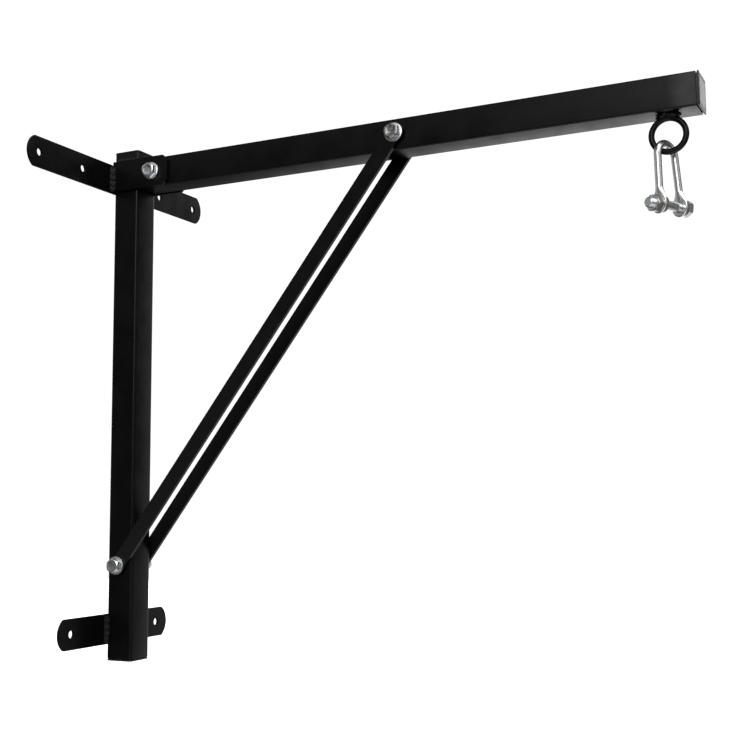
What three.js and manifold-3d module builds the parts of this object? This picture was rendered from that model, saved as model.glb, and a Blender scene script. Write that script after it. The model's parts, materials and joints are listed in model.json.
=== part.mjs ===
// Wall bracket for hanging a punch bag: a post with two wall plates, a level arm held by
// two diagonal bars, and a ring with a shackle under the arm's free end.
// Millimetres. X runs from the wall out along the arm, Y along the wall, Z up.
// The origin is the centre of the upper wall plate's back face.

import * as THREE from 'three';
import { mergeVertices } from 'three/addons/utils/BufferGeometryUtils.js';
import Module from 'manifold-3d';

const wasm = await Module();
wasm.setup();

// ---------- driving dimensions ----------

const GAP = 0.3;               // clearance left between touching pieces

const TUBE = 40;               // outside of the square tube
const TUBE_WALL = 2;
const POST_CORNER = 3.5;       // outer corner radius of the post's tube
const ARM_CORNER = 2;          // outer corner radius of the arm's tube

const PLATE_T = 4;             // wall plates
const PLATE_H = 40;
const PLATE_SAG = 11;          // how far each rounded end bulges
const TOP_PLATE_L = 386;
const TOP_HOLES = [-172.5, -86.5, 86.5, 172.5];
const BOTTOM_PLATE_L = 230;
const BOTTOM_PLATE_Z = -618.2;
const BOTTOM_HOLES = [-91, 91];
const SCREW_HOLE_R = 5.25;

const POST_X = PLATE_T + GAP + TUBE / 2;   // centre line of the post
const POST_TOP = 38.2;         // over the caps
const POST_BOTTOM = -659.4;

const CAP_T = 2.5;             // flange of a tube end cap
const CAP_PROUD = 0.5;         // how far the flange stands out past the tube
const CAP_PLUG = 14;           // depth of the plug inside the tube
const CAP_PLUG_WALL = 2.2;

const ARM_Z = 3;               // centre line of the arm
const ARM_START = 47;
const ARM_END = 805;

const EAR_T = 4;               // clevis plates each side of the arm
const EAR_BACK = PLATE_T + 2 * GAP;
const EAR_FRONT = 96;
const EAR_H = 42;
const EAR_CLIP = 8;            // clipped front corners
const PIVOT_X = 70.5;

const BRACE_W = 20;            // diagonal bars
const BRACE_T = 5;
const BRACE_OVER = 4;          // the round end's centre lies this far past the bolt
const STANDOFF = 4.5;          // thick washers that hold the far bar off the tubes
const BRACE_TOP = { x: 438, z: 3.6 };
const BRACE_FOOT = { x: POST_X - 1.3, z: -533.1 };

const BOLT_R = 6;              // M12 fasteners
const BOLT_HOLE_R = 6.5;
const HEX_AF = 18;             // across flats
const HEAD_H = 7.5;
const NUT_H = 10;
const WASHER_R = 12;
const WASHER_T = 2.5;
const THREAD_OUT = 4;          // thread left past the nut

const RING_X = 768.7;
const RING_R = 19.5;           // to the middle of the rod
const RING_ROD = 3.5;
const RING_Z = ARM_Z - TUBE / 2 - GAP - RING_ROD - RING_R;

const WIRE_R = 4.4;             // shackle
const BOW_R = 15;              // bow radius to the middle of the wire
const SPLAY = 3;               // degrees that each leg opens
const SHACKLE_L = 72.5;        // bow middle to bolt axis
const SHACKLE_YAW = 27;        // degrees the shackle is turned about the vertical
const SHACKLE_LEAN = 3;        // degrees its foot hangs out from the wall
const SHACKLE_OFF = -4.4;      // where the bow sits along the ring
const SHACKLE_PLAY = 0.9;      // clearance between the bow and the ring's rod
const EYE_R = 10.8;
const EYE_T = 7;
const FLARE_START = 0.7;       // how far down the leg it begins to widen into the eye
const PIN_AF = 18;
const PIN_SHANK_R = 5.5;       // plain part of the shackle's bolt
const PIN_PLAY = 0.3;          // clearance round the bolt in the eyes
const PIN_OUT = 7.5;           // thread left past the shackle's nut

// ---------- materials ----------

const coat = new THREE.MeshStandardMaterial({ color: 0x141415, roughness: 0.45, metalness: 0.2 });
const zinc = new THREE.MeshStandardMaterial({ color: 0xc4c8cb, roughness: 0.3, metalness: 0.95 });
const plastic = new THREE.MeshStandardMaterial({ color: 0x1b1b1c, roughness: 0.6, metalness: 0 });

// ---------- helpers ----------

const deg = Math.PI / 180;

function toSolid(geometry) {
  let g = geometry.clone();
  g.deleteAttribute('normal');
  g.deleteAttribute('uv');
  g = mergeVertices(g, 1e-4);
  const vertProperties = new Float32Array(g.attributes.position.array);
  const triVerts = new Uint32Array(g.index.array);
  return new wasm.Manifold(new wasm.Mesh({ numProp: 3, vertProperties, triVerts }));
}

function toGeometry(solid) {
  const m = solid.getMesh();
  const g = new THREE.BufferGeometry();
  const count = m.vertProperties.length / m.numProp;
  const p = new Float32Array(count * 3);
  for (let i = 0; i < count; i += 1) {
    for (let k = 0; k < 3; k += 1) {
      p[i * 3 + k] = m.vertProperties[i * m.numProp + k];
    }
  }
  g.setAttribute('position', new THREE.BufferAttribute(p, 3));
  g.setIndex(new THREE.BufferAttribute(new Uint32Array(m.triVerts), 1));
  g.computeVertexNormals();
  return g;
}

function cut(geometry, ...tools) {
  let s = toSolid(geometry);
  for (const t of tools) {
    s = s.subtract(toSolid(t));
  }
  return toGeometry(s);
}

function join(...geometries) {
  let s = toSolid(geometries[0]);
  for (const g of geometries.slice(1)) {
    s = s.add(toSolid(g));
  }
  return toGeometry(s);
}

function extrude(shape, depth, curveSegments = 6) {
  return new THREE.ExtrudeGeometry(shape, { depth, bevelEnabled: false, curveSegments });
}

// A shape drawn in X and Z, given thickness along Y from y0 to y1.
function plateXZ(shape, y0, y1, curveSegments = 8) {
  const g = extrude(shape, y1 - y0, curveSegments);
  g.rotateX(Math.PI / 2);
  g.translate(0, y1, 0);
  return g;
}

// A shape drawn in Y and Z, given thickness along X from x0 to x1.
function plateYZ(shape, x0, x1, curveSegments = 8) {
  const g = extrude(shape, x1 - x0, curveSegments);
  const m = new THREE.Matrix4().set(0, 0, 1, x0, 1, 0, 0, 0, 0, 1, 0, 0, 0, 0, 0, 1);
  g.applyMatrix4(m);
  return g;
}

function roundedSquare(side, r, target = new THREE.Shape()) {
  const h = side / 2;
  target.moveTo(h - r, -h);
  target.absarc(h - r, -h + r, r, -Math.PI / 2, 0, false);
  target.absarc(h - r, h - r, r, 0, Math.PI / 2, false);
  target.absarc(-h + r, h - r, r, Math.PI / 2, Math.PI, false);
  target.absarc(-h + r, -h + r, r, Math.PI, 1.5 * Math.PI, false);
  target.closePath();
  return target;
}

function hole(x, y, r) {
  const p = new THREE.Path();
  p.absarc(x, y, r, 0, 2 * Math.PI, true);
  return p;
}

function tubeSection(corner) {
  const s = roundedSquare(TUBE, corner);
  const bore = Math.max(corner - TUBE_WALL, 0.6);
  s.holes.push(roundedSquare(TUBE - 2 * TUBE_WALL, bore, new THREE.Path()));
  return s;
}

// A round tool along Y for drilling both walls of a tube.
function drillY(x, z, r) {
  const g = new THREE.CylinderGeometry(r, r, 3 * TUBE, 28);
  g.translate(x, 0, z);
  return g;
}

function hexPrism(acrossFlats, height, turn = 0) {
  const s = new THREE.Shape();
  const r = acrossFlats / Math.sqrt(3);
  for (let i = 0; i < 6; i += 1) {
    const a = turn + i * Math.PI / 3;
    const x = r * Math.cos(a);
    const y = r * Math.sin(a);
    if (i === 0) {
      s.moveTo(x, y);
    } else {
      s.lineTo(x, y);
    }
  }
  s.closePath();
  return extrude(s, height);
}

// A turned profile about Z; points are [radius, z] from the axis back to the axis.
function turned(points, segments = 24) {
  const g = new THREE.LatheGeometry(points.map(([r, z]) => new THREE.Vector2(r, z)), segments);
  g.rotateX(Math.PI / 2);
  return g;
}

// Chamfering envelope that trims a hexagon's corners at its outer end.
function hexEnvelope(acrossFlats, height) {
  const corner = acrossFlats / Math.sqrt(3);
  const rim = acrossFlats * 0.475;
  const drop = (corner + 0.5 - rim) * Math.tan(30 * deg);
  return turned([[0, -1], [corner + 0.5, -1], [corner + 0.5, height - drop], [rim, height], [0, height]], 36);
}

// Bolt along +Z: underside of the head at z = 0, shank running to -length. The first
// part under the head, plain long, may be thinner than the thread.
function bolt(acrossFlats, length, turn, plain = 0, plainR = BOLT_R) {
  const head = toSolid(hexPrism(acrossFlats, HEAD_H, turn)).intersect(toSolid(hexEnvelope(acrossFlats, HEAD_H)));
  const tip = 1;
  const profile = [[0, -length], [BOLT_R - tip, -length], [BOLT_R, -length + tip]];
  if (plain > 0) {
    profile.push([BOLT_R, -plain], [plainR, -plain]);
  }
  profile.push([plainR, 1], [0, 1]);
  return toGeometry(head.add(toSolid(turned(profile))));
}

// Nut along +Z: seat at z = 0.
function nut(acrossFlats, boreR, turn = 0) {
  let s = toSolid(hexPrism(acrossFlats, NUT_H, turn));
  s = s.intersect(toSolid(hexEnvelope(acrossFlats, NUT_H)));
  const bore = new THREE.CylinderGeometry(boreR, boreR, 3 * NUT_H, 24);
  bore.rotateX(Math.PI / 2);
  return toGeometry(s.subtract(toSolid(bore)));
}

function washer(thick = WASHER_T) {
  const r0 = BOLT_HOLE_R;
  return turned([[r0, 0], [WASHER_R, 0], [WASHER_R, thick], [r0, thick], [r0, 0]], 28);
}

// Puts a piece built along +Z onto the near side (facing -Y) or the far side (facing +Y).
function faceNear(g, x, y, z) {
  g.rotateX(Math.PI / 2);
  g.translate(x, y, z);
  return g;
}

function faceFar(g, x, y, z) {
  g.rotateX(-Math.PI / 2);
  g.translate(x, y, z);
  return g;
}

const object = new THREE.Group();
object.name = 'punch_bag_wall_bracket';

function addMesh(name, geometry, material) {
  const mesh = new THREE.Mesh(geometry, material);
  mesh.name = name;
  object.add(mesh);
}

// ---------- post and its caps ----------

const postTubeTop = POST_TOP - CAP_T - GAP;
const postTubeBottom = POST_BOTTOM + CAP_T + GAP;
{
  const g = extrude(tubeSection(POST_CORNER), postTubeTop - postTubeBottom, 4);
  g.translate(POST_X, 0, postTubeBottom);
  addMesh('post_tube', cut(g, drillY(BRACE_FOOT.x, BRACE_FOOT.z, BOLT_HOLE_R)), coat);
}

// End cap along +Z: flange from z = 0 to CAP_T, hollow plug below it.
function endCap(corner) {
  const side = TUBE - 2 * TUBE_WALL - 2 * GAP;
  const flange = extrude(roundedSquare(TUBE + 2 * CAP_PROUD, corner + CAP_PROUD), CAP_T, 4);
  const plug = extrude(roundedSquare(side, 1.2), CAP_PLUG + 0.5, 2);
  plug.translate(0, 0, -CAP_PLUG);
  const hollow = extrude(roundedSquare(side - 2 * CAP_PLUG_WALL, 0.6), CAP_PLUG, 2);
  hollow.translate(0, 0, -CAP_PLUG - 0.5);
  return toGeometry(toSolid(flange).add(toSolid(plug)).subtract(toSolid(hollow)));
}

{
  const top = endCap(POST_CORNER);
  top.translate(POST_X, 0, POST_TOP - CAP_T);
  addMesh('post_top_cap', top, plastic);
  const bottom = endCap(POST_CORNER);
  bottom.rotateX(Math.PI);
  bottom.translate(POST_X, 0, POST_BOTTOM + CAP_T);
  addMesh('post_bottom_cap', bottom, plastic);
}

// ---------- wall plates ----------

function wallPlate(length, z, holes) {
  const h = PLATE_H / 2;
  const r = (h * h + PLATE_SAG * PLATE_SAG) / (2 * PLATE_SAG);
  const half = Math.asin(h / r);
  const c = length / 2 - r;
  const s = new THREE.Shape();
  s.moveTo(-c - r * Math.cos(half), z - h);
  s.lineTo(c + r * Math.cos(half), z - h);
  s.absarc(c, z, r, -half, half, false);
  s.lineTo(-c - r * Math.cos(half), z + h);
  s.absarc(-c, z, r, Math.PI - half, Math.PI + half, false);
  for (const y of holes) {
    s.holes.push(hole(y, z, SCREW_HOLE_R));
  }
  return plateYZ(s, 0, PLATE_T, 10);
}

addMesh('top_wall_plate', wallPlate(TOP_PLATE_L, 0, TOP_HOLES), coat);
addMesh('bottom_wall_plate', wallPlate(BOTTOM_PLATE_L, BOTTOM_PLATE_Z, BOTTOM_HOLES), coat);

// ---------- clevis ears ----------

function ear(side) {
  const z0 = ARM_Z - EAR_H / 2;
  const z1 = ARM_Z + EAR_H / 2;
  const s = new THREE.Shape();
  s.moveTo(EAR_BACK, z0);
  s.lineTo(EAR_FRONT - EAR_CLIP, z0);
  s.lineTo(EAR_FRONT, z0 + EAR_CLIP);
  s.lineTo(EAR_FRONT, z1 - EAR_CLIP);
  s.lineTo(EAR_FRONT - EAR_CLIP, z1);
  s.lineTo(EAR_BACK, z1);
  s.closePath();
  s.holes.push(hole(PIVOT_X, ARM_Z, BOLT_HOLE_R));
  const inner = TUBE / 2 + GAP;
  return side < 0 ? plateXZ(s, -inner - EAR_T, -inner) : plateXZ(s, inner, inner + EAR_T);
}

addMesh('ear_near', ear(-1), coat);
addMesh('ear_far', ear(1), coat);

// ---------- arm ----------

{
  const g = plateYZ(tubeSection(ARM_CORNER), ARM_START, ARM_END, 4);
  g.translate(0, 0, ARM_Z);
  const pivot = drillY(PIVOT_X, ARM_Z, BOLT_HOLE_R);
  const brace = drillY(BRACE_TOP.x, BRACE_TOP.z, BOLT_HOLE_R);
  addMesh('arm_tube', cut(g, pivot, brace), coat);
  const cap = endCap(ARM_CORNER);
  cap.rotateY(Math.PI / 2);
  cap.translate(ARM_END + GAP, 0, ARM_Z);
  addMesh('arm_end_cap', cap, plastic);
}

// ---------- diagonal bars ----------

function brace(side) {
  const dx = BRACE_TOP.x - BRACE_FOOT.x;
  const dz = BRACE_TOP.z - BRACE_FOOT.z;
  const length = Math.hypot(dx, dz);
  const r = BRACE_W / 2;
  const s = new THREE.Shape();
  s.moveTo(-BRACE_OVER, -r);
  s.lineTo(length + BRACE_OVER, -r);
  s.absarc(length + BRACE_OVER, 0, r, -Math.PI / 2, Math.PI / 2, false);
  s.lineTo(-BRACE_OVER, r);
  s.absarc(-BRACE_OVER, 0, r, Math.PI / 2, 1.5 * Math.PI, false);
  s.holes.push(hole(0, 0, BOLT_HOLE_R), hole(length, 0, BOLT_HOLE_R));
  const g = plateXZ(s, 0, BRACE_T, 12);
  g.rotateY(-Math.atan2(dz, dx));
  const inner = TUBE / 2 + GAP;
  g.translate(BRACE_FOOT.x, side < 0 ? -inner - BRACE_T : inner + STANDOFF + GAP, BRACE_FOOT.z);
  return g;
}

addMesh('brace_near', brace(-1), coat);
addMesh('brace_far', brace(1), coat);

// ---------- the three cross bolts ----------

// A standoff puts the far washer between the tube and the far bar, not under the nut.
function crossBolt(name, x, z, packHalf, turn, standoff = 0) {
  const washerIn = packHalf + GAP;
  const headIn = washerIn + WASHER_T + GAP;
  const nutIn = standoff ? packHalf + standoff + 2 * GAP : headIn;
  const farIn = standoff ? TUBE / 2 + GAP : washerIn;
  const tip = nutIn + NUT_H + THREAD_OUT;
  addMesh(`${name}_bolt`, faceNear(bolt(HEX_AF, headIn + tip, turn), x, -headIn, z), zinc);
  addMesh(`${name}_washer_near`, faceNear(washer(), x, -washerIn, z), zinc);
  addMesh(`${name}_washer_far`, faceFar(washer(standoff || WASHER_T), x, farIn, z), zinc);
  addMesh(`${name}_nut`, faceFar(nut(HEX_AF, BOLT_R + GAP, turn), x, nutIn, z), zinc);
}

const earPack = TUBE / 2 + GAP + EAR_T;
const bracePack = TUBE / 2 + GAP + BRACE_T;
crossBolt('pivot', PIVOT_X, ARM_Z, earPack, 0);
crossBolt('brace_top', BRACE_TOP.x, BRACE_TOP.z, bracePack, 3 * deg, STANDOFF);
crossBolt('brace_foot', BRACE_FOOT.x, BRACE_FOOT.z, bracePack, 0, STANDOFF);

// ---------- weld beads ----------

// Section of a fillet bead in the corner of two faces, bulging outward.
function bead(leg) {
  const s = new THREE.Shape();
  s.moveTo(0, 0);
  s.lineTo(leg, 0);
  s.quadraticCurveTo(leg * 0.72, leg * 0.72, 0, leg);
  s.closePath();
  return s;
}

// Upright bead between a wall plate and a face standing off it at |y| = out.
function plateWeld(z, side, out) {
  const g = extrude(bead(7), PLATE_H - 3, 4);
  g.rotateZ(side < 0 ? -Math.PI / 2 : 0);
  g.translate(PLATE_T + GAP, side * (out + GAP), z - PLATE_H / 2 + 1.5);
  return g;
}

// The upper beads lie against the ears, the lower ones against the post itself.
const earFace = TUBE / 2 + GAP + EAR_T;
addMesh('weld_top_plate_near', plateWeld(0, -1, earFace), coat);
addMesh('weld_top_plate_far', plateWeld(0, 1, earFace), coat);
addMesh('weld_bottom_plate_near', plateWeld(BOTTOM_PLATE_Z, -1, TUBE / 2), coat);
addMesh('weld_bottom_plate_far', plateWeld(BOTTOM_PLATE_Z, 1, TUBE / 2), coat);

// Level bead along the top edge of an ear, on the side of the post.
function earWeld(side) {
  const start = EAR_BACK + 5;
  const end = POST_X + TUBE / 2 - POST_CORNER - 1;
  const g = extrude(bead(EAR_T), end - start, 4);
  const across = new THREE.Vector3(0, side, 0);
  const up = new THREE.Vector3(0, 0, 1);
  const run = new THREE.Vector3(side, 0, 0);
  g.applyMatrix4(new THREE.Matrix4().makeBasis(across, up, run));
  g.translate(side < 0 ? end : start, side * (TUBE / 2 + GAP), ARM_Z + EAR_H / 2 + GAP);
  return g;
}

addMesh('weld_ear_near', earWeld(-1), coat);
addMesh('weld_ear_far', earWeld(1), coat);

// ---------- ring under the arm ----------

function torus(R, r, radial, tubular) {
  const g = new THREE.TorusGeometry(R, r, radial, tubular);
  g.rotateX(Math.PI / 2);
  return g;
}

{
  const ring = torus(RING_R, RING_ROD, 14, 48);
  ring.translate(RING_X, 0, RING_Z);
  addMesh('hanging_ring', ring, coat);

  // weld mound wrapped over the ring's crown, cut clear of the ring and the arm
  const mound = new THREE.SphereGeometry(1, 24, 14);
  mound.scale(13, 8.5, 6.5);
  mound.translate(RING_X, 0, ARM_Z - TUBE / 2);
  const around = torus(RING_R, RING_ROD + GAP, 14, 48);
  around.translate(RING_X, 0, RING_Z);
  const above = new THREE.BoxGeometry(60, 60, 40);
  above.translate(RING_X, 0, ARM_Z - TUBE / 2 - GAP + 20);
  addMesh('weld_ring', cut(mound, around, above), coat);
}

// ---------- shackle ----------

// A solid through a list of closed sections, each a ring of points, with flat ends.
function loft(sections) {
  const n = sections[0].length;
  const p = [];
  const idx = [];
  for (const s of sections) {
    for (const v of s) {
      p.push(v.x, v.y, v.z);
    }
  }
  for (let i = 0; i + 1 < sections.length; i += 1) {
    for (let j = 0; j < n; j += 1) {
      const a = i * n + j;
      const b = i * n + (j + 1) % n;
      idx.push(a, a + n, b);
      idx.push(b, a + n, b + n);
    }
  }
  const last = (sections.length - 1) * n;
  for (let j = 1; j + 1 < n; j += 1) {
    idx.push(0, j, j + 1);
    idx.push(last, last + j + 1, last + j);
  }
  const g = new THREE.BufferGeometry();
  g.setAttribute('position', new THREE.BufferAttribute(new Float32Array(p), 3));
  g.setIndex(idx);
  g.computeVertexNormals();
  return g;
}

// Shackle space: u across between the eyes, v through the bow, w up; bow middle at w = 0.
const splay = SPLAY * deg;
const legFoot = new THREE.Vector2(0, 0);

function bowSections() {
  const path = [];
  const kneeU = BOW_R * Math.cos(splay);
  const kneeW = -BOW_R + BOW_R * Math.sin(splay);
  const legDrop = SHACKLE_L + kneeW - EYE_R * 0.35;
  const footU = kneeU + legDrop * Math.tan(splay);
  legFoot.set(footU + EYE_R * 0.35 * Math.tan(splay), -SHACKLE_L);
  const legSteps = [1, 0.94, 0.88, 0.82, 0.76, FLARE_START, 0.35, 0];
  for (const t of legSteps) {
    path.push({ u: -kneeU - t * (footU - kneeU), w: kneeW - t * legDrop, a: Math.PI - splay, t });
  }
  const arc = 14;
  for (let i = 1; i < arc; i += 1) {
    const a = Math.PI - splay - i * (Math.PI - 2 * splay) / arc;
    path.push({ u: BOW_R * Math.cos(a), w: -BOW_R + BOW_R * Math.sin(a), a, t: 0 });
  }
  for (const t of legSteps.slice().reverse()) {
    path.push({ u: kneeU + t * (footU - kneeU), w: kneeW - t * legDrop, a: splay, t });
  }
  const n = 16;
  return path.map(({ u, w, a, t }) => {
    const k = Math.max(0, (t - FLARE_START) / (1 - FLARE_START));
    const blend = k * k * (3 - 2 * k);
    const thick = WIRE_R + (EYE_T / 2 - WIRE_R) * blend;
    const wide = WIRE_R + (EYE_R * 0.92 - WIRE_R) * blend;
    const ring = [];
    for (let j = 0; j < n; j += 1) {
      const b = 2 * Math.PI * j / n;
      const r = thick * Math.cos(b);
      ring.push(new THREE.Vector3(u + r * Math.cos(a), wide * Math.sin(b), w + r * Math.sin(a)));
    }
    return ring;
  });
}

function alongU(r, u0, u1, segments) {
  const g = new THREE.CylinderGeometry(r, r, u1 - u0, segments);
  g.rotateZ(-Math.PI / 2);
  g.translate((u0 + u1) / 2, 0, -SHACKLE_L);
  return g;
}

const bowRaw = loft(bowSections());
const eyeU = legFoot.x;
const eyeIn = eyeU - EYE_T / 2;
const eyeOut = eyeU + EYE_T / 2;
let bow = toSolid(bowRaw);
bow = bow.add(toSolid(alongU(EYE_R, eyeIn, eyeOut, 32)));
bow = bow.add(toSolid(alongU(EYE_R, -eyeOut, -eyeIn, 32)));
bow = bow.subtract(toSolid(alongU(PIN_SHANK_R + PIN_PLAY, 0, 60, 32)));
bow = bow.subtract(toSolid(alongU(BOLT_R + PIN_PLAY, -60, 0, 32)));
const bowGeometry = toGeometry(bow);

const pinHead = eyeOut + GAP;
const pinNut = -eyeOut - GAP;
const pinPlain = pinHead + eyeIn - 2;
const pin = bolt(PIN_AF, pinHead - pinNut + NUT_H + PIN_OUT, 10 * deg, pinPlain, PIN_SHANK_R);
pin.rotateY(Math.PI / 2);
pin.translate(pinHead, 0, -SHACKLE_L);
const pinNutGeometry = nut(PIN_AF, BOLT_R + GAP, 20 * deg);
pinNutGeometry.rotateY(-Math.PI / 2);
pinNutGeometry.translate(pinNut, 0, -SHACKLE_L);

// From shackle space to its place on the ring.
const yaw = SHACKLE_YAW * deg;
const across = new THREE.Vector3(Math.sin(yaw), Math.cos(yaw), 0);
const through = new THREE.Vector3(-Math.cos(yaw), Math.sin(yaw), 0);
const hang = Math.sqrt((RING_R - RING_ROD - SHACKLE_PLAY - WIRE_R) ** 2 - SHACKLE_OFF ** 2);
const place = new THREE.Matrix4().makeTranslation(RING_X + SHACKLE_OFF, 0, RING_Z - hang);
place.multiply(new THREE.Matrix4().makeRotationY(-SHACKLE_LEAN * deg));
place.multiply(new THREE.Matrix4().makeBasis(across, through, new THREE.Vector3(0, 0, 1)));

for (const [name, g] of [['shackle_bow', bowGeometry], ['shackle_bolt', pin], ['shackle_nut', pinNutGeometry]]) {
  g.applyMatrix4(place);
  addMesh(name, g, zinc);
}

export default object;
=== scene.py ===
# A black wall bracket for a punch bag, with zinc-plated bolts and a zinc-plated shackle.
# Metres. X runs from the wall out along the arm, Y along the wall, Z up.

import json
import math

import bmesh
import bpy
from mathutils import Matrix, Vector, noise


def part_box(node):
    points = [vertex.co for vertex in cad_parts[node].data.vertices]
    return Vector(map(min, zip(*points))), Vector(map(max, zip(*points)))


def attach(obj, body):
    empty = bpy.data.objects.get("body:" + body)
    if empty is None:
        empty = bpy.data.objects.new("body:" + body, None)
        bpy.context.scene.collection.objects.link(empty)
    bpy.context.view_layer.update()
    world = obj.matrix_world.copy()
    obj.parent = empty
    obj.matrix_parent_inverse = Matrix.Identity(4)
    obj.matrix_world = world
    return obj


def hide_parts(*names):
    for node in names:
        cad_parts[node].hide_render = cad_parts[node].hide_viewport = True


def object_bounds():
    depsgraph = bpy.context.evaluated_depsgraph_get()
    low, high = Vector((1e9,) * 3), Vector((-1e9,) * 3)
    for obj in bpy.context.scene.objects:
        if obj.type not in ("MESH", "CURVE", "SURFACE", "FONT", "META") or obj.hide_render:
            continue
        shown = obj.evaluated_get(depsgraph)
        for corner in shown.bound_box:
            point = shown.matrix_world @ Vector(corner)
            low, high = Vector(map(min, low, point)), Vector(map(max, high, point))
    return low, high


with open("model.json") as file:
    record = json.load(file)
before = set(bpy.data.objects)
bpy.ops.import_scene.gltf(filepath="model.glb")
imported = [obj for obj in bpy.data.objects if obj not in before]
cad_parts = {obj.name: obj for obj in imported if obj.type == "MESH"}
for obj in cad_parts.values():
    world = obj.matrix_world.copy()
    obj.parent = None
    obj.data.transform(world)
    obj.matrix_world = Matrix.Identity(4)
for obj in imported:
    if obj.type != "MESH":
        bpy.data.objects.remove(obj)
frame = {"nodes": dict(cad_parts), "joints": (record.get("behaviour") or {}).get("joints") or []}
cad_lo, cad_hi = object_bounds()

MM = 0.001

TUBE = 40 * MM          # side of the square tubes
TUBE_WALL = 2 * MM
POST_CORNER = 3.5 * MM  # outer corner radii of the post and of the arm
ARM_CORNER = 2 * MM
ARM_SHORT = 0.9 * MM    # the arm is drawn this much short of its cap, which leaves a joint

AF = 18 * MM            # hexagons, across flats
HEX_HEAD = 7.5 * MM     # height of a bolt head
HEAD_DISH = 0.35 * MM
THREAD_R = 6 * MM       # M12 thread
PITCH = 1.75 * MM
NUT_BORE = THREAD_R - 0.4 * MM


# ---------- node helpers ----------


def new_material(name):
    m = bpy.data.materials.new(name)
    m.use_nodes = True
    nt = m.node_tree
    nt.nodes.clear()
    out = nt.nodes.new("ShaderNodeOutputMaterial")
    bsdf = nt.nodes.new("ShaderNodeBsdfPrincipled")
    nt.links.new(bsdf.outputs["BSDF"], out.inputs["Surface"])
    coord = nt.nodes.new("ShaderNodeTexCoord")
    return m, nt, bsdf, coord.outputs["Object"]


def noise_node(nt, vector, scale, detail=3.0, rough=0.55, stretch=None):
    n = nt.nodes.new("ShaderNodeTexNoise")
    n.inputs["Scale"].default_value = scale
    n.inputs["Detail"].default_value = detail
    n.inputs["Roughness"].default_value = rough
    if stretch:
        mp = nt.nodes.new("ShaderNodeMapping")
        mp.inputs["Scale"].default_value = stretch
        nt.links.new(vector, mp.inputs["Vector"])
        vector = mp.outputs["Vector"]
    nt.links.new(vector, n.inputs["Vector"])
    return n.outputs["Fac"]


def ramp(nt, fac, stops):
    r = nt.nodes.new("ShaderNodeValToRGB")
    el = r.color_ramp.elements
    while len(el) < len(stops):
        el.new(0.5)
    for e, (pos, col) in zip(el, stops):
        e.position = pos
        e.color = (*col, 1)
    nt.links.new(fac, r.inputs["Fac"])
    return r.outputs["Color"]


def map_range(nt, value, lo, hi, a=0.0, b=1.0):
    """Takes a value from between a and b to between lo and hi."""
    n = nt.nodes.new("ShaderNodeMapRange")
    n.inputs["From Min"].default_value = a
    n.inputs["From Max"].default_value = b
    n.inputs["To Min"].default_value = lo
    n.inputs["To Max"].default_value = hi
    nt.links.new(value, n.inputs["Value"])
    return n.outputs["Result"]


def mix_colour(nt, fac, a, b):
    n = nt.nodes.new("ShaderNodeMix")
    n.data_type = "RGBA"
    nt.links.new(fac, n.inputs[0])
    for sock, v in ((6, a), (7, b)):
        if isinstance(v, tuple):
            n.inputs[sock].default_value = (*v, 1)
        else:
            nt.links.new(v, n.inputs[sock])
    return n.outputs[2]


def bump(nt, bsdf, height, strength, distance, below=None):
    b = nt.nodes.new("ShaderNodeBump")
    b.inputs["Strength"].default_value = strength
    b.inputs["Distance"].default_value = distance
    nt.links.new(height, b.inputs["Height"])
    if below is not None:
        nt.links.new(below, b.inputs["Normal"])
    nt.links.new(b.outputs["Normal"], bsdf.inputs["Normal"])
    return b.outputs["Normal"]


BLACK = (0, 0, 0)
WHITE = (1, 1, 1)


def grey(v, blue=1.0):
    return (v, v, v * blue)


def powder_coat(name, dark=0.0018, light=0.0045, r0=0.25, r1=0.36, peel=0.22, painted_light_span=None):
    """Black powder coat; the range of heights, if given, carries painted light, which is strongest at
    its bottom and thins out going up.
    """
    m, nt, bsdf, vec = new_material(name)
    cloud = noise_node(nt, vec, 9, 4)
    speck = noise_node(nt, vec, 420, 2, 0.7)
    base = ramp(nt, cloud, [(0.3, grey(dark, 1.03)), (0.75, grey(light, 1.03))])
    dust = ramp(nt, speck, [(0.66, BLACK), (0.74, WHITE)])
    col = mix_colour(nt, map_range(nt, dust, 0.0, 0.35), base, (0.02, 0.02, 0.021))
    # Painted light: across the given heights the coat is mixed towards a paler grey, most at the
    # bottom and none at the top, standing in for the light that the lower part catches.
    if painted_light_span:
        split = nt.nodes.new("ShaderNodeSeparateXYZ")
        nt.links.new(vec, split.inputs["Vector"])
        painted_light_mix = map_range(nt, split.outputs["Z"], 0.42, 0.0, *painted_light_span)
        col = mix_colour(nt, painted_light_mix, col, (0.028, 0.028, 0.029))
    nt.links.new(col, bsdf.inputs["Base Color"])
    nt.links.new(map_range(nt, noise_node(nt, vec, 35, 3), r0, r1, 0.3, 0.7), bsdf.inputs["Roughness"])
    bsdf.inputs["Specular IOR Level"].default_value = 0.22
    wave = bump(nt, bsdf, noise_node(nt, vec, 160, 2, 0.5), peel, 0.00025)
    bump(nt, bsdf, noise_node(nt, vec, 900, 2, 0.5), peel * 0.6, 0.00008, wave)
    return m


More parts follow.
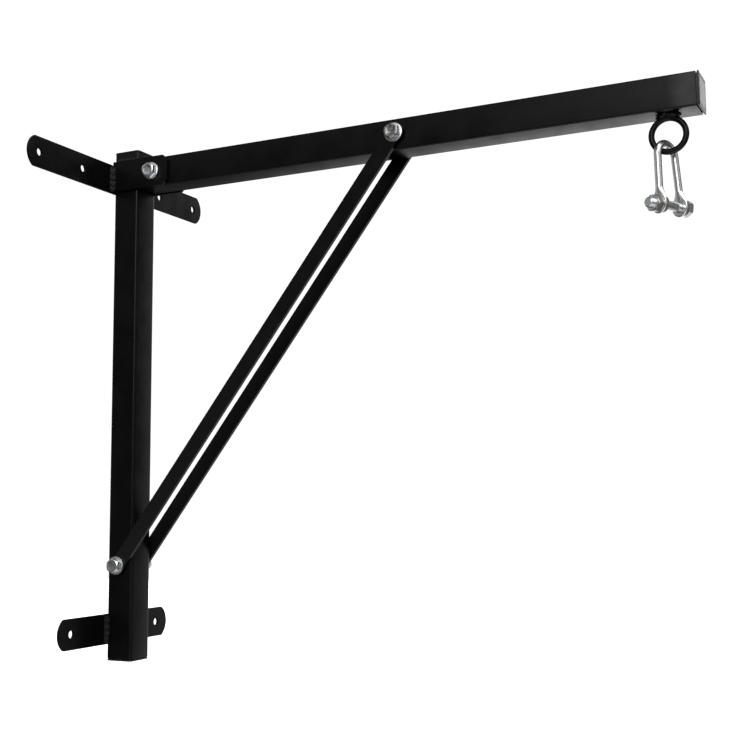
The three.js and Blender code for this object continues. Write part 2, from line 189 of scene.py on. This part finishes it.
def zinc_plate(name, tint=(0.84, 0.845, 0.85), r0=0.22, r1=0.38, grit=0.1, clean=0.62, stained=0.28):
    """Zinc plating with warm and cool clouds; stains show where the noise passes clean."""
    m, nt, bsdf, vec = new_material(name)
    bsdf.inputs["Metallic"].default_value = 1.0
    cloud = noise_node(nt, vec, 70, 4)
    warm = tuple(c * k for c, k in zip(tint, (0.93, 0.9, 0.84)))
    cool = tuple(c * k for c, k in zip(tint, (0.96, 1.0, 1.03)))
    base = ramp(nt, cloud, [(0.32, warm), (0.5, tint), (0.7, cool)])
    stain = ramp(nt, noise_node(nt, vec, 330, 3, 0.65), [(clean, BLACK), (clean + 0.1, WHITE)])
    stain_colour = tuple(c * (1.28 - stained) for c in (0.34, 0.34, 0.35))
    col = mix_colour(nt, map_range(nt, stain, 0.0, stained), base, stain_colour)
    nt.links.new(col, bsdf.inputs["Base Color"])
    grain = noise_node(nt, vec, 260, 3, 0.6)
    nt.links.new(map_range(nt, grain, r0, r1, 0.3, 0.7), bsdf.inputs["Roughness"])
    wave = bump(nt, bsdf, noise_node(nt, vec, 110, 1, 0.4), 0.12, 0.0003)
    bump(nt, bsdf, grain, grit, 0.0001, wave)
    return m


def moulded_plastic(name, dark=0.012, light=0.024, r0=0.28, r1=0.42):
    """Black plastic with a fine grain and pale scuffs."""
    m, nt, bsdf, vec = new_material(name)
    cloud = noise_node(nt, vec, 60, 3)
    base = ramp(nt, cloud, [(0.3, grey(dark)), (0.7, grey(light))])
    scuff = ramp(nt, noise_node(nt, vec, 190, 4, 0.7, (1, 1, 0.3)), [(0.56, BLACK), (0.7, WHITE)])
    col = mix_colour(nt, map_range(nt, scuff, 0.0, 0.6), base, grey(0.16))
    nt.links.new(col, bsdf.inputs["Base Color"])
    grain = noise_node(nt, vec, 1500, 2, 0.6)
    nt.links.new(map_range(nt, grain, r0, r1, 0.3, 0.7), bsdf.inputs["Roughness"])
    bump(nt, bsdf, grain, 0.3, 0.0001)
    return m


COAT = powder_coat("black_powder_coat")
COAT_WELD = powder_coat("black_coat_over_weld", 0.0018, 0.005, 0.3, 0.45, 0.4)
ZINC = zinc_plate("bright_zinc")
ZINC_TURNED = zinc_plate("bright_zinc_turned", (0.82, 0.825, 0.83), 0.28, 0.42)
ZINC_FORGED = zinc_plate("bright_zinc_forged", (0.84, 0.845, 0.85), 0.2, 0.32, 0.03)
ZINC_WORN = zinc_plate("worn_zinc", (0.62, 0.625, 0.63), 0.28, 0.45, 0.3, 0.44, 0.85)
# The bars carry painted light: paler towards their feet, fading out 60 mm below their tops, which stay
# darker under the arm.
bar_z = [v.co.z for v in frame["nodes"]["brace_near"].data.vertices]
PAINTED_LIGHT_TOP = max(bar_z) - 60 * MM
COAT_BAR = powder_coat("black_powder_coat_bars", painted_light_span=(min(bar_z), PAINTED_LIGHT_TOP))
PLASTIC = moulded_plastic("black_moulded_plastic")


# ---------- mesh helpers ----------


def make_object(name, verts, faces, material, smooth_angle):
    me = bpy.data.meshes.new(name)
    me.from_pydata([tuple(v) for v in verts], [], faces)
    me.validate()
    bm = bmesh.new()
    bm.from_mesh(me)
    bmesh.ops.remove_doubles(bm, verts=bm.verts, dist=1e-7)
    bmesh.ops.recalc_face_normals(bm, faces=bm.faces)
    bm.to_mesh(me)
    bm.free()
    shade(me, smooth_angle)
    me.materials.append(material)
    ob = bpy.data.objects.new(name, me)
    bpy.context.scene.collection.objects.link(ob)
    return ob


def shade(me, angle):
    me.shade_smooth()
    me.set_sharp_from_angle(angle=math.radians(angle))


def add_bevel(ob, width):
    b = ob.modifiers.new("edge", "BEVEL")
    b.width = width
    b.segments = 3
    b.limit_method = "ANGLE"
    b.angle_limit = math.radians(40)
    b.harden_normals = True


def place(ob, body, node):
    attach(ob, body)
    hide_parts(node)


def rings_to_faces(n_rings, n, cap_ends=True):
    """Faces between rings of n points each, the end rings filled or left open."""
    faces = []
    for i in range(n_rings - 1):
        for j in range(n):
            k = (j + 1) % n
            faces.append((i * n + j, i * n + k, (i + 1) * n + k, (i + 1) * n + j))
    if cap_ends:
        faces.append(tuple(range(n))[::-1])
        last = (n_rings - 1) * n
        faces.append(tuple(last + j for j in range(n)))
    return faces


def looped(n_rings, n):
    """The same, with the last ring joined back to the first."""
    last = (n_rings - 1) * n
    faces = rings_to_faces(n_rings, n, cap_ends=False)
    for j in range(n):
        k = (j + 1) % n
        faces.append((last + j, last + k, k, j))
    return faces


def polar(rings):
    """Points of rings about Z, each ring a list of (radius, z) at even turns."""
    verts = []
    for ring in rings:
        for j, (r, z) in enumerate(ring):
            a = 2 * math.pi * j / len(ring)
            verts.append((r * math.cos(a), r * math.sin(a), z))
    return verts


def lathe(points, n=64):
    """Rings about Z through (radius, z) points."""
    return polar([[point] * n for point in points])


def washer_mesh(r_in, r_out, t):
    c = 0.35 * MM
    prof = [
        (r_in, c), (r_in + c, 0), (r_out - c, 0), (r_out - c * 0.3, c * 0.3), (r_out, c),
        (r_out, t - c * 1.4), (r_out - c * 0.4, t - c * 0.4), (r_out - c * 1.4, t),
        (r_in + c, t), (r_in, t - c),
    ]
    n = 72
    return lathe(prof, n), looped(len(prof), n)


def hex_rings(af, h, both_ends, dish=0.0, bore=None):
    """A hexagon prism with turned corners, from z = 0 to h, bored through or dished on top."""
    n = 96
    face_r = af * 0.445
    slope = math.tan(math.radians(30))
    sixth = math.pi / 3
    rim = 0.12 * MM
    mouth = rim * 5

    def hex_r(a):
        return af / 2 / math.cos((a + sixth / 2) % sixth - sixth / 2)

    outline = [hex_r(2 * math.pi * j / n) for j in range(n)]
    rings = []
    if bore:
        rings.append([(bore, mouth)] * n)
        rings.append([(bore + mouth, 0.0)] * n)
    if both_ends:
        rings.append([(face_r, 0.0)] * n)
        rings.append([(r, (r - face_r) * slope) for r in outline])
    else:
        rings.append([(r - rim, 0.0) for r in outline])
        rings.append([(r, rim) for r in outline])
    rings.append([(r, h - (r - face_r) * slope) for r in outline])
    rings.append([(face_r + rim, h - rim * 0.4)] * n)
    rings.append([(face_r - rim, h)] * n)
    if bore:
        rings.append([(bore + mouth, h)] * n)
        rings.append([(bore, h - mouth)] * n)
    elif dish:
        rings.append([(face_r * 0.82, h)] * n)
        rings.append([(face_r * 0.7, h - dish)] * n)
        rings.append([(face_r * 0.2, h - dish)] * n)
    faces = looped(len(rings), n) if bore else rings_to_faces(len(rings), n)
    return polar(rings), faces


def thread_mesh(radius, z0, z1, pitch, plain_r, plain_to):
    """A thread about Z from its pointed tip at z0 to z1, then a plain shank to plain_to."""
    n = 48
    depth = 0.61 * pitch
    tip = 1.1 * MM
    tip_in = 0.4 * MM
    lead = 0.15 * MM
    steps = max(8, int(round((z1 - z0) / pitch * 10)))
    rings = [[(radius * 0.3, z0)] * n, [(radius - depth - 0.5 * MM, z0)] * n]
    for i in range(steps + 1):
        z = z0 + lead + (z1 - z0 - lead) * i / steps
        cone = max(radius - depth - tip_in + (z - z0) / tip * (depth + tip_in), radius * 0.5)
        ring = []
        for j in range(n):
            turn_part = (z / pitch - j / n) % 1.0
            crest = min(1.0, max(0.0, (abs(2 * turn_part - 1) - 0.1) / 0.78))
            ring.append((min(radius - depth * (1 - crest), cone), z))
        rings.append(ring)
    rings.append([(plain_r, z1 + 0.2 * MM)] * n)
    rings.append([(plain_r, plain_to)] * n)
    return polar(rings), rings_to_faces(len(rings), n)


def merged(parts):
    verts, faces = [], []
    for v, f in parts:
        off = len(verts)
        verts += list(v)
        faces += [tuple(i + off for i in q) for q in f]
    return verts, faces


def along(origin, axis, turn_ref):
    """Matrix that takes local +Z to axis and local +X near turn_ref."""
    z = Vector(axis).normalized()
    x = (Vector(turn_ref) - z * Vector(turn_ref).dot(z)).normalized()
    y = z.cross(x)
    m = Matrix((x, y, z)).transposed().to_4x4()
    m.translation = Vector(origin)
    return m


def moved(part, matrix):
    v, f = part
    return [matrix @ Vector(p) for p in v], f


def turned(part, degrees):
    return moved(part, Matrix.Rotation(math.radians(degrees), 4, "Z"))


# ---------- tubes, plates, ears and bars: the CAD solids, with softened edges ----------


def dress(node, material):
    ob = frame["nodes"][node]
    ob.data.materials.clear()
    ob.data.materials.append(material)
    weld = ob.modifiers.new("join", "WELD")
    weld.merge_threshold = 1e-6
    flat = ob.modifiers.new("flat", "DECIMATE")
    flat.decimate_type = "DISSOLVE"
    flat.angle_limit = math.radians(0.6)
    add_bevel(ob, 0.6 * MM)
    normals = ob.modifiers.new("flat_faces", "WEIGHTED_NORMAL")
    normals.mode = "FACE_AREA"
    normals.weight = 100
    ob.data.shade_smooth()


for node in ("top_wall_plate", "bottom_wall_plate", "ear_near", "ear_far"):
    dress(node, COAT)
for node in ("brace_near", "brace_far"):
    dress(node, COAT_BAR)


def rounded_square(side, r):
    steps = 8
    h = side / 2 - r
    pts = []
    for cx, cy, a0 in ((h, -h, -90), (h, h, 0), (-h, h, 90), (-h, -h, 180)):
        for i in range(steps + 1):
            a = math.radians(a0 + 90 * i / steps)
            pts.append((cx + r * math.cos(a), cy + r * math.sin(a)))
    return pts


def stacked(rings):
    """Points of outlines stacked along Z, given as (outline, z)."""
    return [(x, y, z) for outline, z in rings for x, y in outline]


def tube_part(side, wall, corner, length):
    """A square tube about Z from 0 to length, both rims softened."""
    c = 0.2 * MM
    cuts = 24
    bore = max(corner - wall, 0.6 * MM)

    def outer(d):
        return rounded_square(side - 2 * d, corner - d)

    def inner(d):
        return rounded_square(side - 2 * wall + 2 * d, bore + d)

    rings = [(inner(0), c), (inner(c), 0), (outer(c), 0), (outer(c * 0.3), c * 0.3), (outer(0), c)]
    for i in range(1, cuts):
        rings.append((outer(0), c + (length - 2 * c) * i / cuts))
    rings += [(outer(0), length - c), (outer(c * 0.3), length - c * 0.3), (outer(c), length)]
    rings += [(inner(c), length), (inner(0), length - c)]
    return stacked(rings), looped(len(rings), len(rings[0][0]))


def tube_on(node, axis, ref, corner, short=0.0):
    """Draws a tube along the positive axis of its node's box, short of the far end."""
    lo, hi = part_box(node)
    start = (lo + hi) / 2
    k = axis.index(1)
    start[k] = lo[k]
    part = tube_part(TUBE, TUBE_WALL, corner, hi[k] - lo[k] - short)
    v, f = moved(part, along(start, axis, ref))
    ob = make_object(node + "_coated", v, f, COAT, 30)
    place(ob, "bracket", node)


tube_on("post_tube", (0, 0, 1), (1, 0, 0), POST_CORNER)
tube_on("arm_tube", (1, 0, 0), (0, 0, 1), ARM_CORNER, ARM_SHORT)


# ---------- end caps ----------


CAP_THICK = 2.5 * MM    # the flange outside the tube
CAP_CORNER = 4 * MM
ARM_CAP_CORNER = 2.5 * MM
PLUG_SIDE = 35.4 * MM
PLUG_WALL = 2.2 * MM
PANEL_IN = 3.2 * MM     # a shallow groove runs this far inside the cap's edge


def cap_part(side, corner, plug):
    """Cap about Z: plug down to -plug, then a flange with a soft rim, an undercut and a groove."""
    thick = CAP_THICK
    rim = 1.0 * MM
    undercut = 1.4 * MM
    groove = 0.55 * MM

    def flange(d):
        return rounded_square(side - 2 * d, max(corner - d, 0.4 * MM))

    def stem(d):
        return rounded_square(PLUG_SIDE - 2 * d, 1.2 * MM)

    rings = [
        (stem(PLUG_WALL), -plug + 0.4 * MM), (stem(PLUG_WALL), -plug), (stem(0.3 * MM), -plug),
        (stem(0), -plug + 0.6 * MM), (stem(0), 0), (flange(undercut), 0),
        (flange(undercut), 0.75 * MM), (flange(0.2 * MM), 0.95 * MM), (flange(0), 1.15 * MM),
        (flange(0), thick - rim), (flange(rim * 0.35), thick - rim * 0.35),
        (flange(rim), thick - 0.05 * MM),
        (flange(PANEL_IN), thick - 0.05 * MM), (flange(PANEL_IN + 0.5 * MM), thick - groove),
        (flange(PANEL_IN + 1.1 * MM), thick - groove), (flange(PANEL_IN + 1.7 * MM), thick - 0.1 * MM),
        (flange(PANEL_IN + 6 * MM), thick),
    ]
    return stacked(rings), rings_to_faces(len(rings), len(rings[0][0]))


def cap_on(node, axis, ref, corner):
    """Draws a cap whose flange faces along the axis, at that end of its node's box."""
    lo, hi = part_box(node)
    k = max(range(3), key=lambda i: abs(axis[i]))
    start = (lo + hi) / 2
    start[k] = hi[k] - CAP_THICK if axis[k] > 0 else lo[k] + CAP_THICK
    side = max((hi - lo)[i] for i in range(3) if i != k)
    part = cap_part(side, corner, hi[k] - lo[k] - CAP_THICK)
    v, f = moved(part, along(start, axis, ref))
    ob = make_object(node + "_moulded", v, f, PLASTIC, 28)
    place(ob, "bracket", node)


cap_on("post_top_cap", (0, 0, 1), (1, 0, 0), CAP_CORNER)
cap_on("post_bottom_cap", (0, 0, -1), (1, 0, 0), CAP_CORNER)
cap_on("arm_end_cap", (1, 0, 0), (0, 0, 1), ARM_CAP_CORNER)


# ---------- cross bolts with washers and nuts ----------


WASHER_HOLE_R = 6.5 * MM
WASHER_R = 12 * MM


def cross_bolt(group, head_turn, nut_turn, bolt_finish=ZINC):
    """A bolt through the bracket along Y, its two washers and its nut, each on its node's box."""
    lo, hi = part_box(group + "_bolt")
    n_lo, n_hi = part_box(group + "_nut")
    w_lo, w_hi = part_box(group + "_washer_near")
    f_lo, f_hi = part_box(group + "_washer_far")
    x = (w_lo.x + w_hi.x) / 2
    z = (w_lo.z + w_hi.z) / 2
    seat = lo.y + HEX_HEAD
    head = turned(hex_rings(AF, HEX_HEAD, False, dish=HEAD_DISH), head_turn)
    shank = thread_mesh(THREAD_R, seat - hi.y, seat - n_lo.y + 1 * MM, PITCH, THREAD_R, 0.5 * MM)
    m = along((x, seat, z), (0, -1, 0), (1, 0, 0))
    v, f = moved(merged([head, shank]), m)
    ob = make_object(group + "_bolt_plated", v, f, bolt_finish, 24)
    place(ob, "bracket", group + "_bolt")

    m = along((x, n_lo.y, z), (0, 1, 0), (1, 0, 0))
    v, f = moved(turned(hex_rings(AF, n_hi.y - n_lo.y, True, bore=NUT_BORE), nut_turn), m)
    ob = make_object(group + "_nut_plated", v, f, ZINC, 24)
    place(ob, "bracket", group + "_nut")

    for side, a, b in (("near", w_lo, w_hi), ("far", f_lo, f_hi)):
        part = washer_mesh(WASHER_HOLE_R, WASHER_R, b.y - a.y)
        v, f = moved(part, along((x, a.y, z), (0, 1, 0), (1, 0, 0)))
        ob = make_object(f"{group}_washer_{side}_plated", v, f, ZINC_TURNED, 30)
        place(ob, "bracket", f"{group}_washer_{side}")


cross_bolt("pivot", 0, 12)
cross_bolt("brace_top", 3, 25, ZINC_WORN)
cross_bolt("brace_foot", 0, 40)


# ---------- weld beads ----------


PLATE_STEP = 8.5 * MM   # one ripple of a weld bead
EAR_STEP = 2.2 * MM
ROOT = 0.3 * MM         # a bead is drawn this much deeper into its corner than the CAD solid


def bead_mesh(start, end, n1, n2, leg, seed, step):
    """A rippled fillet from start to end in the corner between faces along n1 and n2."""
    start, end, n1, n2 = (Vector(v) for v in (start, end, n1, n2))
    run = end - start
    length = run.length
    rows = max(24, int(length / (0.3 * MM)))
    cols = 12
    bulge = 0.75
    verts = []
    for i in range(rows + 1):
        u = i / rows
        s = u * length
        wob = noise.noise(Vector((seed, s * 110, 0.3)))
        fade = min(1.0, (min(s, length - s) + 0.6 * MM) / (2.2 * MM)) ** 0.5
        base = start + run * u
        verts.append(base)
        for j in range(cols + 1):
            t = j / cols
            a = t * math.pi / 2
            ph = (s / step + 0.3 * math.sin(math.pi * t) + 0.6 * wob) % 1.0
            scale = 1.0 - 0.2 * (1 - math.sin(math.pi * ph)) ** 2 + 0.3 * wob
            edge = 1 + 0.1 * noise.noise(Vector((seed + 3.1, s * 420, j * 0.4)))
            r = leg * fade * scale * edge * (1 - (1 - bulge) * math.sin(2 * a))
            verts.append(base + n1 * (r * math.cos(a)) + n2 * (r * math.sin(a)))
    n = cols + 2
    return verts, rings_to_faces(rows + 1, n)


def bead_on(node, start, end, n1, n2, leg, seed, step):
    v, f = bead_mesh(start, end, n1, n2, leg, seed, step)
    ob = make_object(node + "_bead", v, f, COAT_WELD, 60)
    place(ob, "bracket", node)


def side_of(node, lo, hi):
    """The Y of the face that the weld lies on, and the way out of it."""
    if node.endswith("near"):
        return hi.y, (0, -1, 0)
    return lo.y, (0, 1, 0)


for k, node in enumerate(
    ("weld_top_plate_near", "weld_top_plate_far", "weld_bottom_plate_near", "weld_bottom_plate_far")
):
    lo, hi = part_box(node)
    y, out = side_of(node, lo, hi)
    x = lo.x - ROOT
    leg = (hi.x - lo.x) * 0.72
    bead_on(node, (x, y, lo.z), (x, y, hi.z), (1, 0, 0), out, leg, 1.7 + k, PLATE_STEP)

for k, node in enumerate(("weld_ear_near", "weld_ear_far")):
    lo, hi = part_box(node)
    y, out = side_of(node, lo, hi)
    z = lo.z - ROOT
    leg = hi.z - lo.z + ROOT
    bead_on(node, (lo.x, y, z), (hi.x, y, z), out, (0, 0, 1), leg, 9.2 + k, EAR_STEP)


# ---------- ring and its weld ----------

swing = next(j for j in frame["joints"] if j["name"] == "shackle_swing")
turn = next(j for j in frame["joints"] if j["name"] == "shackle_bolt_turn")
ring_mid = Vector(swing["pos_m"])
ring_lo, ring_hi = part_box("hanging_ring")
ROD = 3.5 * MM
RING_R = (ring_hi.x - ring_lo.x) / 2 - ROD


def torus_mesh(R, r, n=128, m=28):
    """A torus about Y: n steps round the ring, m round the rod."""
    verts = []
    for i in range(n):
        a = 2 * math.pi * i / n
        for j in range(m):
            b = 2 * math.pi * j / m
            d = R + r * math.cos(b)
            verts.append((d * math.cos(a), r * math.sin(b), d * math.sin(a)))
    faces = []
    for i in range(n):
        for j in range(m):
            p, q = (i + 1) % n, (j + 1) % m
            faces.append((i * m + j, i * m + q, p * m + q, p * m + j))
    return verts, faces


v, f = moved(torus_mesh(RING_R, ROD), Matrix.Translation(ring_mid))
place(make_object("hanging_ring_coated", v, f, COAT, 60), "bracket", "hanging_ring")


def ring_weld():
    """A lumpy dome of weld under the arm, where the ring is fixed."""
    lo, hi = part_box("weld_ring")
    mid = (lo + hi) / 2
    half = (hi - lo) / 2
    rows, cols = 28, 72
    verts = []
    for i in range(rows + 1):
        t = i / rows * math.pi / 2
        for j in range(cols):
            a = 2 * math.pi * j / cols
            lump = 1 + 0.34 * noise.noise(Vector((math.cos(a) * 2.6, math.sin(a) * 2.6, t * 2.4)))
            ripple = 1 + 0.07 * math.sin(a * 17 + 3 * math.sin(t * 5))
            r = math.cos(t) ** 0.9 * lump * ripple
            x = mid.x + half.x * r * math.cos(a)
            y = mid.y + half.y * r * math.sin(a)
            z = hi.z + 0.2 * MM - (hi.z - lo.z) * math.sin(t) * (0.92 + 0.08 * lump)
            verts.append((x, y, z))
    return verts, rings_to_faces(rows + 1, cols)


v, f = ring_weld()
place(make_object("weld_ring_bead", v, f, COAT_WELD, 60), "bracket", "weld_ring")


# ---------- shackle ----------

WIRE_R = 4.4 * MM
BOW_R = 15 * MM           # to the middle of the wire
SPLAY = math.radians(3)   # each leg leans out
LEAN = math.radians(3)    # the whole shackle leans along X
EYE_R = 10.8 * MM
EYE_T = 7 * MM
FLARE = 0.7               # part of the leg's length above which it is plain wire
SHANK_R = 5.5 * MM        # the bolt's plain part, under its head
FIT = 0.3 * MM            # play in the eyes and under head and nut
NUT_H = 10 * MM
THREAD_OUT = 7.5 * MM     # thread past the nut
LEG_STEPS = 30
ARC_STEPS = 40

pin_mid = Vector(turn["pos_m"])
across = Vector(turn["axis"]).normalized()
up = Vector((-math.sin(LEAN), 0, math.cos(LEAN)))
through = up.cross(across).normalized()
bow_lo, bow_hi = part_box("shackle_bow")
pin_drop = (bow_hi.z - WIRE_R - pin_mid.z) / up.z
to_row = Matrix((across, through, up)).transposed().to_4x4()
to_row.translation = pin_mid + up * pin_drop


def bow_part():
    """The bow in its own frame: u across, v through, w up, with flattened ends for the eyes."""
    knee_u = BOW_R * math.cos(SPLAY)
    knee_w = -BOW_R + BOW_R * math.sin(SPLAY)
    drop = pin_drop + knee_w - EYE_R * 0.35
    foot_u = knee_u + drop * math.tan(SPLAY)
    steps = [1 - i / LEG_STEPS for i in range(LEG_STEPS + 1)]
    path = []
    for t in steps:
        path.append((-knee_u - t * (foot_u - knee_u), knee_w - t * drop, math.pi - SPLAY, t))
    for i in range(1, ARC_STEPS):
        a = math.pi - SPLAY - i * (math.pi - 2 * SPLAY) / ARC_STEPS
        path.append((BOW_R * math.cos(a), -BOW_R + BOW_R * math.sin(a), a, 0))
    for t in reversed(steps):
        path.append((knee_u + t * (foot_u - knee_u), knee_w - t * drop, SPLAY, t))
    n = 28
    verts = []
    for u, w, a, t in path:
        k = max(0.0, (t - FLARE) / (1 - FLARE))
        k = k * k * (3 - 2 * k)
        thick = WIRE_R + (EYE_T / 2 - WIRE_R) * k
        wide = WIRE_R + (EYE_R * 0.92 - WIRE_R) * k
        for j in range(n):
            b = 2 * math.pi * j / n
            r = thick * math.cos(b)
            verts.append((u + r * math.cos(a), wide * math.sin(b), w + r * math.sin(a)))
    return verts, rings_to_faces(len(path), n)


eye_u = BOW_R * math.cos(SPLAY) + (pin_drop - BOW_R + BOW_R * math.sin(SPLAY)) * math.tan(SPLAY)


def disc_u(r, u0, u1, c):
    """A disc on the pin's axis from u0 to u1, its rims rounded by c."""
    n = 64
    prof = [
        (r - c, u0), (r - c * 0.3, u0 + c * 0.3), (r, u0 + c),
        (r, u1 - c), (r - c * 0.3, u1 - c * 0.3), (r - c, u1),
    ]
    m = along((0, 0, -pin_drop), (1, 0, 0), (0, 1, 0))
    return moved((lathe(prof, n), rings_to_faces(len(prof), n)), m)


def applied(ob):
    dg = bpy.context.evaluated_depsgraph_get()
    me = bpy.data.meshes.new_from_object(ob.evaluated_get(dg))
    ob.modifiers.clear()
    ob.data = me


def boolean(ob, tool, how):
    m = ob.modifiers.new("bool", "BOOLEAN")
    m.operation = how
    m.solver = "EXACT"
    m.object = tool
    applied(ob)
    bpy.data.objects.remove(tool)


v, f = bow_part()
bow = make_object("shackle_bow_plated", v, f, ZINC_FORGED, 60)
for s in (-1, 1):
    u0, u1 = sorted((s * (eye_u - EYE_T / 2), s * (eye_u + EYE_T / 2)))
    v, f = disc_u(EYE_R, u0, u1, 1.0 * MM)
    boolean(bow, make_object("tool", v, f, ZINC_FORGED, 35), "UNION")
rm = bow.modifiers.new("forge", "REMESH")
rm.mode = "VOXEL"
rm.voxel_size = 0.4 * MM
sm = bow.modifiers.new("soften", "SMOOTH")
sm.factor = 0.5
sm.iterations = 14
applied(bow)
for s, r in ((-1, THREAD_R + FIT), (1, SHANK_R + FIT)):
    u0, u1 = sorted((s * 2 * MM, s * 60 * MM))
    v, f = disc_u(r, u0, u1, 0.1 * MM)
    boolean(bow, make_object("tool", v, f, ZINC_FORGED, 35), "DIFFERENCE")
bow.data.transform(to_row)
bow.data.materials.clear()
bow.data.materials.append(ZINC_FORGED)
shade(bow.data, 40)
place(bow, "shackle", "shackle_bow")

head_u = eye_u + EYE_T / 2 + FIT
nut_u = -head_u
head = turned(hex_rings(AF, HEX_HEAD, False, dish=HEAD_DISH), 10)
tip = -(head_u - nut_u + NUT_H + THREAD_OUT)
plain = -(2 * eye_u - EYE_T / 2 - 2 * MM + FIT)
shank = thread_mesh(THREAD_R, tip, plain, PITCH, SHANK_R, 0.5 * MM)
m = to_row @ along((head_u, 0, -pin_drop), (1, 0, 0), (0, 1, 0))
v, f = moved(merged([head, shank]), m)
pin = make_object("shackle_bolt_plated", v, f, ZINC, 24)
place(pin, "shackle_pin", "shackle_bolt")
m = to_row @ along((nut_u, 0, -pin_drop), (-1, 0, 0), (0, 1, 0))
v, f = moved(turned(hex_rings(AF, NUT_H, True, bore=NUT_BORE), 20), m)
pin_nut = make_object("shackle_nut_plated", v, f, ZINC, 24)
place(pin_nut, "shackle_pin", "shackle_nut")


# ---------- floor, light and camera ----------


def only(ob, name):
    """A collection outside the scene that holds one object, for light linking."""
    c = bpy.data.collections.new(name)
    c.objects.link(ob)
    return c


def plain_floor(z):
    me = bpy.data.meshes.new("floor")
    half = 30
    corners = ((-half, -half), (half, -half), (half, half), (-half, half))
    me.from_pydata([(x, y, z) for x, y in corners], [], [(0, 1, 2, 3)])
    ob = bpy.data.objects.new("floor", me)
    bpy.context.scene.collection.objects.link(ob)
    m, nt, bsdf, vec = new_material("pale_floor")
    pale = ramp(nt, noise_node(nt, vec, 1.5, 2), [(0.3, grey(0.93)), (0.7, grey(0.96))])
    nt.links.new(pale, bsdf.inputs["Base Color"])
    bsdf.inputs["Roughness"].default_value = 0.9
    bsdf.inputs["Specular IOR Level"].default_value = 0.0
    me.materials.append(m)
    ob.visible_glossy = False
    ob.visible_diffuse = False
    return ob


# The floor lies well below the bracket, which hangs on a wall, so that views from below clear it.
floor = plain_floor(cad_lo.z - 2.2)

# An even light for the floor alone, so that it stays as pale as the background.
sun = bpy.data.lights.new("floor_light", "SUN")
sun.energy = 4.0
sun.angle = math.radians(40)
sun_ob = bpy.data.objects.new("floor_light", sun)
bpy.context.scene.collection.objects.link(sun_ob)
sun_ob.light_linking.receiver_collection = only(floor, "floor_only")
sun_ob.light_linking.blocker_collection = only(floor, "floor_blocks")


def toward(az, el):
    """Unit direction: azimuth from +Y toward +X, elevation up from the horizon."""
    a, e = math.radians(az), math.radians(el)
    return (math.sin(a) * math.cos(e), math.cos(a) * math.cos(e), math.sin(e))


# Soft boxes, as patches of a dim studio: azimuth and elevation of the middle, the angles
# from there to which it is full and by which it is gone (all in degrees), and brightness.
SOFT_BOXES = [
    (3, -8, 14, 38, 1.0),
    (-5, -18, 3, 9, 1.2),
    (11, 21, 5, 18, 1.5),
    (172, 22, 4, 24, 3.4),
    (112, 62, 10, 42, 2.2),
    (222, 30, 3, 20, 0.3),
    (102, 8, 14, 38, 0.32),
    (278, 14, 15, 40, 0.5),
    (150, -68, 15, 55, 1.2),
]
STUDIO = 0.08
BACKGROUND = 1.05

world = bpy.data.worlds.new("studio")
bpy.context.scene.world = world
world.use_nodes = True
wn = world.node_tree
wn.nodes.clear()
w_out = wn.nodes.new("ShaderNodeOutputWorld")
lit = wn.nodes.new("ShaderNodeBackground")    # what lights the bracket and shows in it
seen = wn.nodes.new("ShaderNodeBackground")   # what the camera sees behind it
sky = wn.nodes.new("ShaderNodeTexCoord")
total = None
for az, el, inner, outer, power in SOFT_BOXES:
    dot = wn.nodes.new("ShaderNodeVectorMath")
    dot.operation = "DOT_PRODUCT"
    dot.inputs[1].default_value = toward(az, el)
    wn.links.new(sky.outputs["Generated"], dot.inputs[0])
    edge = wn.nodes.new("ShaderNodeMapRange")
    edge.interpolation_type = "SMOOTHSTEP"
    edge.inputs["From Min"].default_value = math.cos(math.radians(outer))
    edge.inputs["From Max"].default_value = math.cos(math.radians(inner))
    edge.inputs["To Min"].default_value = 0.0
    edge.inputs["To Max"].default_value = power
    wn.links.new(dot.outputs["Value"], edge.inputs["Value"])
    add = wn.nodes.new("ShaderNodeMath")
    add.inputs[0].default_value = STUDIO
    if total:
        wn.links.new(total, add.inputs[0])
    wn.links.new(edge.outputs["Result"], add.inputs[1])
    total = add.outputs["Value"]
wn.links.new(total, lit.inputs["Strength"])
lit.inputs["Color"].default_value = (1, 1, 1, 1)
seen.inputs["Color"].default_value = (1, 1, 1, 1)
seen.inputs["Strength"].default_value = BACKGROUND
path = wn.nodes.new("ShaderNodeLightPath")
pick = wn.nodes.new("ShaderNodeMixShader")
wn.links.new(path.outputs["Is Camera Ray"], pick.inputs["Fac"])
wn.links.new(lit.outputs["Background"], pick.inputs[1])
wn.links.new(seen.outputs["Background"], pick.inputs[2])
wn.links.new(pick.outputs["Shader"], w_out.inputs["Surface"])

# The photograph's camera, solved from the straight edges of the post, arm, bars and plates.
CAM_AT = (1.03914, -1.32684, -0.45036)
CAM_AZ, CAM_EL, CAM_ROLL = (math.radians(v) for v in (26.24, -6.50, -0.365))

cam_data = bpy.data.cameras.new("camera")
cam_data.sensor_width = 36
cam_data.lens = 58.61
cam_data.clip_start = 0.01
cam_data.clip_end = 200
cam = bpy.data.objects.new("camera", cam_data)
back = Vector((
    math.sin(CAM_AZ) * math.cos(CAM_EL), -math.cos(CAM_AZ) * math.cos(CAM_EL), math.sin(CAM_EL)
))
right = (-back).cross(Vector((0, 0, 1))).normalized()
over = right.cross(-back)
cam_x = right * math.cos(CAM_ROLL) + over * math.sin(CAM_ROLL)
cam_y = over * math.cos(CAM_ROLL) - right * math.sin(CAM_ROLL)
pose = Matrix((cam_x, cam_y, back)).transposed().to_4x4()
pose.translation = Vector(CAM_AT)
cam.matrix_world = pose
bpy.context.scene.collection.objects.link(cam)
bpy.context.scene.camera = cam
bpy.context.scene.view_settings.view_transform = "Standard"
